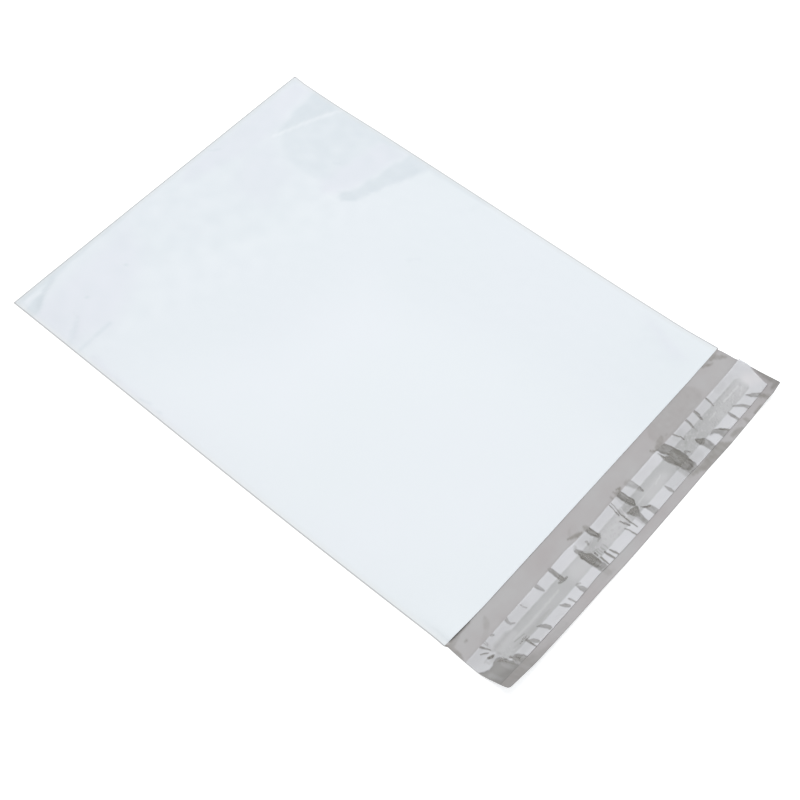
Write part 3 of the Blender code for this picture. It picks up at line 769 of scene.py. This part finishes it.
def liner_marks(x, y):
    """The liner's painted shade, how wet it is, its painted highlights, and how high it stands in
    millimetres.
    """
    xs, ys = x / MM, (y - POCKET) / MM
    near_x = xs + ripples(xs, ys, *MARK_WANDER[0])
    near_y = ys + ripples(xs, ys, *MARK_WANDER[1])
    dark = np.zeros(x.shape)
    tall = np.zeros(x.shape)
    for strength, height, *points in PUCKERS:
        inside, dome = stroke(near_x, near_y, points, soft=0.34)
        dark = np.maximum(dark, strength * inside)
        tall = np.maximum(tall, height * dome * (2 - dome))
    tall = tall * (1 - CORNER_FLATTER * corner_mark(xs, ys))
    tall = tall * (1 - EDGE_FLATTER * smooth(*EDGE_STRETCH, ys))
    dark = dark * (1 + ripples(xs, ys, *PUCKER_LINES))
    dark = np.maximum(dark, CORNER_DARK * corner_mark(near_x, near_y))
    dark = dark * (1 - strongest(near_x, ys, GLINTS, share=0.8))

    wet, crinkled = wetting(xs, ys)
    # Painted shade in the crinkles' folds and painted highlights on their crests
    folds = CRINKLE_DARK * crinkled * smooth(*SHADED_CRESTS, ripples(xs, ys, *CRINKLE_SHADES))
    dark = np.maximum(dark, np.maximum(strongest(near_x, ys, SHADES, share=0.9), folds))
    tops = CRINKLE_HIGHLIGHT * crinkled * smooth(*LIGHT_CRESTS, ripples(xs, ys, *CRINKLE_GLINTS))
    light = np.maximum(strongest(xs, near_y, HIGHLIGHT_STREAKS, share=0.9), tops)
    return dark, wet, light, tall + crinkled * np.abs(ripples(xs, ys, *CRINKLE_HEIGHTS))


# Meshes


def add_object(name, data):
    """A new object in the scene."""
    made = bpy.data.objects.new(name, data)
    bpy.context.scene.collection.objects.link(made)
    return made


def mesh_object(name, points, faces, slots, attributes, materials):
    """One object from points and faces, with its float attributes."""
    data = bpy.data.meshes.new(name)
    data.from_pydata(points.reshape(-1, 3).tolist(), [], faces)
    for material in materials:
        data.materials.append(material)
    data.polygons.foreach_set("material_index", np.asarray(slots, dtype=np.int32))
    for key, values in attributes.items():
        layer = data.attributes.new(key, "FLOAT", "POINT")
        layer.data.foreach_set("value", np.tile(values.ravel(), 2).astype(np.float32))
    mesh = bmesh.new()
    mesh.from_mesh(data)
    bmesh.ops.remove_doubles(mesh, verts=mesh.verts, dist=SAME_PLACE)
    loose = [vertex for vertex in mesh.verts if not vertex.link_faces]
    bmesh.ops.delete(mesh, geom=loose, context="VERTS")
    bmesh.ops.recalc_face_normals(mesh, faces=mesh.faces)
    mesh.to_mesh(data)
    mesh.free()
    data.shade_smooth()
    data.set_sharp_from_angle(angle=math.radians(SHARP_ANGLE))
    return add_object(name, data)


def grid_faces(index, skip=False):
    """Quads over a grid of point numbers, without the cells to skip."""
    quads = np.stack([index[:-1, :-1], index[:-1, 1:], index[1:, 1:], index[1:, :-1]], axis=-1)
    return quads[~np.broadcast_to(skip, quads.shape[:2])].tolist()


def broad_faces(index, step):
    """Faces of step by step cells over a grid, which keep every point along the grid's outer edges."""
    last_row, last_column = index.shape[0] - 1, index.shape[1] - 1
    faces = []
    for row in range(0, last_row, step):
        for column in range(0, last_column, step):
            low, high = min(row + step, last_row), min(column + step, last_column)
            first = index[row, column:high:1 if row == 0 else step]
            right = index[row:low:1 if high == last_column else step, high]
            last = index[low, high:column:-1 if low == last_row else -step]
            left = index[low:row:-1 if column == 0 else -step, column]
            faces.append(np.concatenate([first, right, last, left]).tolist())
    return faces


def rims(first, second):
    """Faces that join the four edges of one grid to those of another."""
    faces = []
    for edge in ((0, slice(None)), (-1, slice(None)), (slice(None), 0), (slice(None), -1)):
        one, other = first[edge], second[edge]
        faces += np.stack([one[:-1], one[1:], other[1:], other[:-1]], axis=-1).tolist()
    return faces


def closed_sheet(name, x, y, under, over, attributes, material):
    """A closed thin sheet on a grid, from the heights of its two faces."""
    points = np.concatenate([lay(x, y, under), lay(x, y, over)])
    index = np.arange(x.size).reshape(x.shape)
    faces = grid_faces(index) + grid_faces(index + x.size) + rims(index, index + x.size)
    return mesh_object(name, points, faces, np.zeros(len(faces)), attributes, [material])


# The bag's film


def web_grid(rows):
    """The web's points on rows at y, and how far inside the nearer weld each is."""
    far, near = far_edge(rows)[:, None], near_edge(rows)[:, None]
    steps = np.array(EDGE_STEPS)
    shares = np.linspace(0, 1, WEB_COLUMNS - 2 * len(EDGE_STEPS) + 1)
    clear = near - far - 2 * WELD
    x = np.concatenate([far + steps, far + WELD + shares * clear, near - steps[::-1]], axis=1)
    none = np.zeros((len(rows), len(EDGE_STEPS)))
    inside = np.concatenate([none, np.minimum(shares, 1 - shares) * clear, none], axis=1)
    return x, rows[:, None] + 0 * x, inside


def panel_rows():
    """A panel's rows from just above the fold to the mouth, closer together near the fold."""
    share = np.linspace(0, 1, FRONT_ROWS - 1)
    spread = (1 - ROW_CROWDING) * share + ROW_CROWDING * share**2
    ends = POCKET - np.array(LAST_ROWS)
    return np.concatenate([FIRST_ROW + (ends[0] - FIRST_ROW) * spread, ends[1:]])


# Each part of the web gives x, y, the points of its outer and its inner face, and how dark it is painted,
# as shade


def front_panel():
    x, y, inside = web_grid(panel_rows()[::-1])
    height = gap(x, y, inside)
    cut = y - mouth_dip(x, y)
    return x, y, lay(x, cut, height + 2 * FILM), lay(x, cut, height + FILM), 0 * x


def bottom_fold():
    x, y, inside = web_grid(np.zeros(FOLD_ROWS + 1))
    angles = math.pi * (1 - np.arange(FOLD_ROWS + 1) / FOLD_ROWS)[:, None]
    bend = FILM + gap(x, y, inside) / 2
    faces = []
    for radius in (bend, bend - FILM):
        across = bend - radius * np.sin(angles) - MIDDLE[1]
        faces.append(np.stack([x - MIDDLE[0], across, bend - radius * np.cos(angles)], axis=-1))
    return x, y, *faces, 0 * x


def back_panel():
    x, y, _ = web_grid(panel_rows())
    cut = y - mouth_dip(x, y)
    return x, y, lay(x, cut, 0.0), lay(x, cut, FILM), flap_film(x, y)[1]


def flap():
    rows = np.concatenate([[NOTCH_STEP], FLAP * np.arange(1, FLAP_ROWS + 1) / FLAP_ROWS])
    x, y, _ = web_grid(POCKET + rows)
    lift, dark = flap_film(x, y)
    cut = y + flap_reach(x, y)
    return x, y, lay(x, cut, lift), lay(x, cut, lift + FILM), dark


def make_film(white, grey):
    """The folded web: its outer face and its inner face, row by row from the mouth of the front panel."""
    parts = (front_panel(), bottom_fold(), back_panel(), flap())
    x, y, outer, inner, dark = (np.concatenate(pieces) for pieces in zip(*parts))
    index = np.arange(x.size).reshape(x.shape)
    under = index + x.size

    rows = panel_rows()
    back_start = len(rows) + FOLD_ROWS + 1
    mouth = back_start + len(rows) - 1
    broad = slice(back_start + 1, back_start + 1 + int(np.searchsorted(rows, BROAD_END)))
    welds = len(EDGE_STEPS)
    skip = np.zeros((x.shape[0] - 1, x.shape[1] - 1), dtype=bool)
    skip[broad.start:broad.stop - 1, welds:-welds] = True
    white_faces = grid_faces(index, skip)
    skip[:mouth, :welds] = True
    skip[:mouth, -welds:] = True
    grey_faces = grid_faces(under, skip)
    block = (broad, slice(welds, x.shape[1] - welds))
    white_faces += broad_faces(index[block], BROAD_STEP)
    grey_faces += broad_faces(under[block], BROAD_STEP) + rims(index, under)

    slots = [0] * len(white_faces) + [1] * len(grey_faces)
    side = np.minimum(x - far_edge(y), near_edge(y) - x)
    edge = np.minimum(side, np.minimum(y, POCKET + FLAP - y)) / MM
    front = np.zeros(x.shape)
    front[:back_start] = 1
    shade, lilac = body_tones(x, y)
    attributes = {"edge": edge, "dark": dark, "shade": front * shade, "lilac": front * lilac}
    points = np.concatenate([outer, inner])
    return mesh_object("mailer_film", points, white_faces + grey_faces, slots, attributes, [white, grey])


# The glue line and the liner


def make_glue(material):
    """A low bead with round ends, whose points crowd towards its ends."""
    even = np.arange(GLUE_COLUMNS + 1) / GLUE_COLUMNS
    crowded = 0.5 - 0.5 * np.cos(math.pi * even)
    x = GLUE_START + (GLUE_END - GLUE_START) * ((1 - GLUE_CROWDING) * even + GLUE_CROWDING * crowded)
    across = np.linspace(-1, 1, GLUE_ROWS + 1)[:, None]
    half = GLUE_WIDTH / 2
    to_end = np.minimum(np.minimum(x - GLUE_START, GLUE_END - x), half)
    reach = np.maximum(np.sqrt(np.maximum(half**2 - (half - to_end) ** 2, 0)), GLUE_BLUNT * half)
    y = POCKET + GLUE_MIDDLE + across * reach * (1 + ripples(x / MM, 0 * x, *GLUE_RAGGED))
    x = x + 0 * y
    # The glue takes the painted shade of the film under it
    lift, dark = flap_film(x, y)
    base = lift + FILM + GLUE_LIFT
    dome = GLUE_THICK * (1 - GLUE_DOME * across**2)
    return closed_sheet("glue_line", x, y, base, base + dome, {"dark": dark}, material)


def liner_y(x, across):
    """y of the skewed liner, from across -1 at its inner edge to 1 at its outer edge."""
    return POCKET + LINER_MIDDLE + LINER_SKEW * (WIDTH / 2 - x) + across * LINER_WIDTH / 2


def make_liner(material):
    """The clear strip, from its slanted far end to the flap's near side."""
    across = np.linspace(-1, 1, LINER_ROWS + 1)[:, None]
    slant = np.clip((across - END_SLANT_START) / (1 - END_SLANT_START), 0, 1) ** END_SLANT_POWER
    far = far_edge(np.array(POCKET)) - END_OVERHANG + END_SLANT * slant
    near = near_edge(liner_y(WIDTH, across))
    x = far + (near - far) * np.arange(LINER_COLUMNS + 1) / LINER_COLUMNS
    places, *shifts = zip(*LINER_SHIFTS)
    inner, outer = (np.interp(x / MM, places, shift) * MM for shift in shifts)
    y = liner_y(x, across) + inner + (outer - inner) * (1 + across) / 2

    dark, wet, light, tall = liner_marks(x, y)
    lift, _ = flap_film(x, y)
    flat = 1 - corner_mark(x / MM, (y - POCKET) / MM)
    loose = LINER_LOOSE * (1 + ripples(x / MM, y / MM, *LOOSE_WAVES))
    raised = np.maximum(lift + PUCKER_REST * flat, tall * MM) + (LINER_LIFT + loose) * flat
    end_lift = END_LIFT * np.exp(-(((x - far) / END_REACH) ** 2)) * (1 - smooth(-1, END_FADE, across))
    base = FILM + LINER_REST + raised + end_lift
    marks = {"dark": dark, "wet": wet, "light": light}
    return closed_sheet("liner_strip", x, y, base, base + LINER_THICK, marks, material)


# Materials


def add_node(tree, kind, inputs=(), **settings):
    """A new node, whose inputs get constants or other nodes' outputs."""
    node = tree.nodes.new(kind)
    for key, value in settings.items():
        setattr(node, key, value)
    for key, value in dict(inputs).items():
        if isinstance(value, bpy.types.NodeSocket):
            tree.links.new(value, node.inputs[key])
        else:
            node.inputs[key].default_value = value
    return node


def noise(tree, scale, detail=3, roughness=0.55, stretch=(1, 1, 1)):
    """A noise value over the object, from 0 to 1."""
    place = add_node(tree, "ShaderNodeTexCoord").outputs["Object"]
    mapped = add_node(tree, "ShaderNodeMapping", {"Vector": place, "Scale": stretch}).outputs["Vector"]
    inputs = {"Vector": mapped, "Scale": scale, "Detail": detail, "Roughness": roughness}
    return add_node(tree, "ShaderNodeTexNoise", inputs).outputs["Fac"]


def remap(tree, value, before, after=(0.0, 1.0), interpolation="LINEAR"):
    """A value that runs from one range to another, and stops at its ends."""
    inputs = dict(zip(("Value", "From Min", "From Max", "To Min", "To Max"), (value, *before, *after)))
    node = add_node(tree, "ShaderNodeMapRange", inputs, clamp=True, interpolation_type=interpolation)
    return node.outputs["Result"]


def attribute(tree, name):
    """A value that the mesh carries."""
    return add_node(tree, "ShaderNodeAttribute", attribute_name=name).outputs["Fac"]


def near_rim(tree, stretch, most):
    """A value that is most at the film's rim, and fades inside it over a stretch in millimetres."""
    return remap(tree, attribute(tree, "edge"), stretch, (most, 0.0), "SMOOTHSTEP")


def linear(value):
    """The linear value of one channel of a colour from 0 to 255."""
    value /= 255
    return value / 12.92 if value <= 0.04045 else ((value + 0.055) / 1.055) ** 2.4


def blend(tree, share, first, second):
    """A mix of two colours, each a colour from 0 to 255 or another node's output."""
    node = add_node(tree, "ShaderNodeMix", {"Factor": share}, data_type="RGBA")
    for key, colour in (("A", first), ("B", second)):
        socket = [s for s in node.inputs if s.name == key and s.type == "RGBA"][0]
        if isinstance(colour, tuple):
            socket.default_value = (*(linear(value) for value in colour), 1.0)
        else:
            tree.links.new(colour, socket)
    return [s for s in node.outputs if s.type == "RGBA"][0]


def bump(tree, height, distance, strength, **below):
    """A surface bump, on top of another one given as Normal."""
    inputs = {"Height": height, "Distance": distance, "Strength": strength, **below}
    return add_node(tree, "ShaderNodeBump", inputs).outputs["Normal"]


def new_material(name):
    """A material, its node tree and its main shader."""
    made = bpy.data.materials.new(name)
    made.use_nodes = True
    return made, made.node_tree, made.node_tree.nodes["Principled BSDF"]


def set_surface(tree, shader, colour, roughness, normal):
    """Give a shader its colour, roughness and bumps."""
    tree.links.new(colour, shader.inputs["Base Color"])
    tree.links.new(normal, shader.inputs["Normal"])
    shader.inputs["Roughness"].default_value = roughness


def white_film():
    made, tree, shader = new_material("white_film")
    colour = blend(tree, remap(tree, noise(tree, 11, 2), (0.35, 0.65)), *WHITE)
    colour = blend(tree, attribute(tree, "lilac"), colour, LILAC)
    # Painted shade of the front panel
    colour = blend(tree, attribute(tree, "shade"), colour, SHADED)
    colour = blend(tree, near_rim(tree, (0.6, 4), 0.4), colour, WELDED)
    colour = blend(tree, near_rim(tree, (0.15, 0.75), 1.0), colour, WHITE_RIM)
    grain = bump(tree, noise(tree, 900, 2), GRAIN, 0.5)
    set_surface(tree, shader, colour, 0.3, bump(tree, noise(tree, 60), UNEVEN, 0.3, Normal=grain))
    return made


def grey_film():
    made, tree, shader = new_material("grey_film")
    colour = blend(tree, remap(tree, noise(tree, 34), (0.38, 0.62)), *GREY)
    # Painted shade on the grey film
    colour = blend(tree, attribute(tree, "dark"), colour, GREY_SHADE)
    colour = blend(tree, near_rim(tree, (0.1, 0.5), 0.5), colour, GREY_RIM)
    grain = bump(tree, noise(tree, 700, 2), GRAIN, 0.5)
    set_surface(tree, shader, colour, 0.36, bump(tree, noise(tree, 120), UNEVEN, 0.35, Normal=grain))
    return made


def glue():
    made, tree, shader = new_material("hot_melt_glue")
    streak = remap(tree, noise(tree, 60, 4, 0.6, (1, 9, 1)), (0.4, 0.62))
    # Painted shade on the glue
    colour = blend(tree, attribute(tree, "dark"), blend(tree, streak, *GLUE), GLUE_SHADE)
    set_surface(tree, shader, colour, 0.3, bump(tree, noise(tree, 420), UNEVEN, 0.5))
    return made


def clear_liner():
    made, tree, shader = new_material("clear_liner")
    # The dry liner is pale with a painted reflection, and painted highlights and painted shade lie over
    # it
    colour = blend(tree, attribute(tree, "wet"), LINER_DRY, LINER_WET)
    colour = blend(tree, attribute(tree, "light"), colour, LINER_HIGHLIGHT)
    colour = blend(tree, attribute(tree, "dark"), colour, LINER_SHADE)
    set_surface(tree, shader, colour, 0.18, bump(tree, noise(tree, 300), UNEVEN, 0.3))
    opacity = remap(tree, attribute(tree, "wet"), (0.0, 1.0), (0.6, 0.45))
    tree.links.new(opacity, shader.inputs["Alpha"])
    return made


# Surroundings


def plain_ray(tree):
    """1 for the rays that show the white surroundings, and 0 for those that light the object."""
    path = add_node(tree, "ShaderNodeLightPath")
    shown = path.outputs["Is Camera Ray"]
    for kind in ("Is Glossy Ray", "Is Transmission Ray"):
        either = add_node(tree, "ShaderNodeMath", {0: shown, 1: path.outputs[kind]}, operation="MAXIMUM")
        shown = either.outputs["Value"]
    return shown


def make_floor():
    """A pale matt floor just under the bag, which looks white and keeps the bag's shadow."""
    bpy.ops.mesh.primitive_plane_add(size=FLOOR_SIZE, location=(0, 0, -FLOOR_DROP))
    floor = bpy.context.object
    floor.name = "studio_floor"
    made, tree, shader = new_material("pale_floor")
    shader.inputs["Base Color"].default_value = (0.8, 0.8, 0.8, 1.0)
    shader.inputs["Roughness"].default_value = 1.0
    shader.inputs["Specular IOR Level"].default_value = 0.0
    shader.inputs["Emission Color"].default_value = (1, 1, 1, 1)
    strength = add_node(tree, "ShaderNodeMath", {0: plain_ray(tree), 1: FLOOR_GLOW}, operation="MULTIPLY")
    tree.links.new(strength.outputs["Value"], shader.inputs["Emission Strength"])
    floor.data.materials.append(made)


def make_world():
    """A soft sky that lights the bag, with plain white where it is seen."""
    world = bpy.data.worlds.new("studio")
    bpy.context.scene.world = world
    world.use_nodes = True
    tree = world.node_tree
    sky = tree.nodes["Background"]
    sky.inputs["Color"].default_value = (*DAYLIGHT, 1.0)
    sky.inputs["Strength"].default_value = SKY_STRENGTH
    backdrop = add_node(tree, "ShaderNodeBackground", {"Color": (1, 1, 1, 1)})
    inputs = {0: plain_ray(tree), 1: sky.outputs["Background"], 2: backdrop.outputs["Background"]}
    shown = add_node(tree, "ShaderNodeMixShader", inputs)
    tree.links.new(shown.outputs["Shader"], tree.nodes["World Output"].inputs["Surface"])


def soft_box(name, place, size, radiance, colour=(1, 1, 1)):
    """A lamp aimed at the bag. radiance is how bright its face is, where white paper is 1."""
    data = bpy.data.lights.new(name, "AREA")
    data.shape = "RECTANGLE"
    data.size, data.size_y = size
    data.energy = radiance * math.pi * size[0] * size[1]
    data.color = colour
    lamp = add_object(name, data)
    lamp.location = place
    lamp.rotation_euler = (-Vector(place)).to_track_quat("-Z", "Y").to_euler()


def make_camera():
    data = bpy.data.cameras.new("camera")
    data.lens = CAMERA_LENS
    data.sensor_width = 36
    data.clip_start = 0.01
    camera = add_object("camera", data)
    aim = (Vector(CAMERA_AIM) - Vector(CAMERA_PLACE)).to_track_quat("-Z", "Y").to_matrix().to_4x4()
    roll = Matrix.Rotation(math.radians(CAMERA_ROLL), 4, "Z")
    camera.matrix_world = Matrix.Translation(CAMERA_PLACE) @ aim @ roll
    bpy.context.scene.camera = camera


def main():
    bpy.context.scene.view_settings.view_transform = "Standard"
    make_camera()
    make_floor()
    make_world()
    soft_box("key", place=(-0.90, -0.78, 2.50), size=(2.5, 3.1), radiance=1.96, colour=DAYLIGHT)
    soft_box("fill", place=(1.8, 1.6, 2.8), size=(2.4, 2.4), radiance=0.7)

    film = make_film(white_film(), grey_film())
    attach(film, "root")
    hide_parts("bag_film")

    bead = make_glue(glue())
    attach(bead, "root")
    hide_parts("adhesive_strip")

    liner = make_liner(clear_liner())
    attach(liner, "root")
    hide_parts("release_liner")


main()
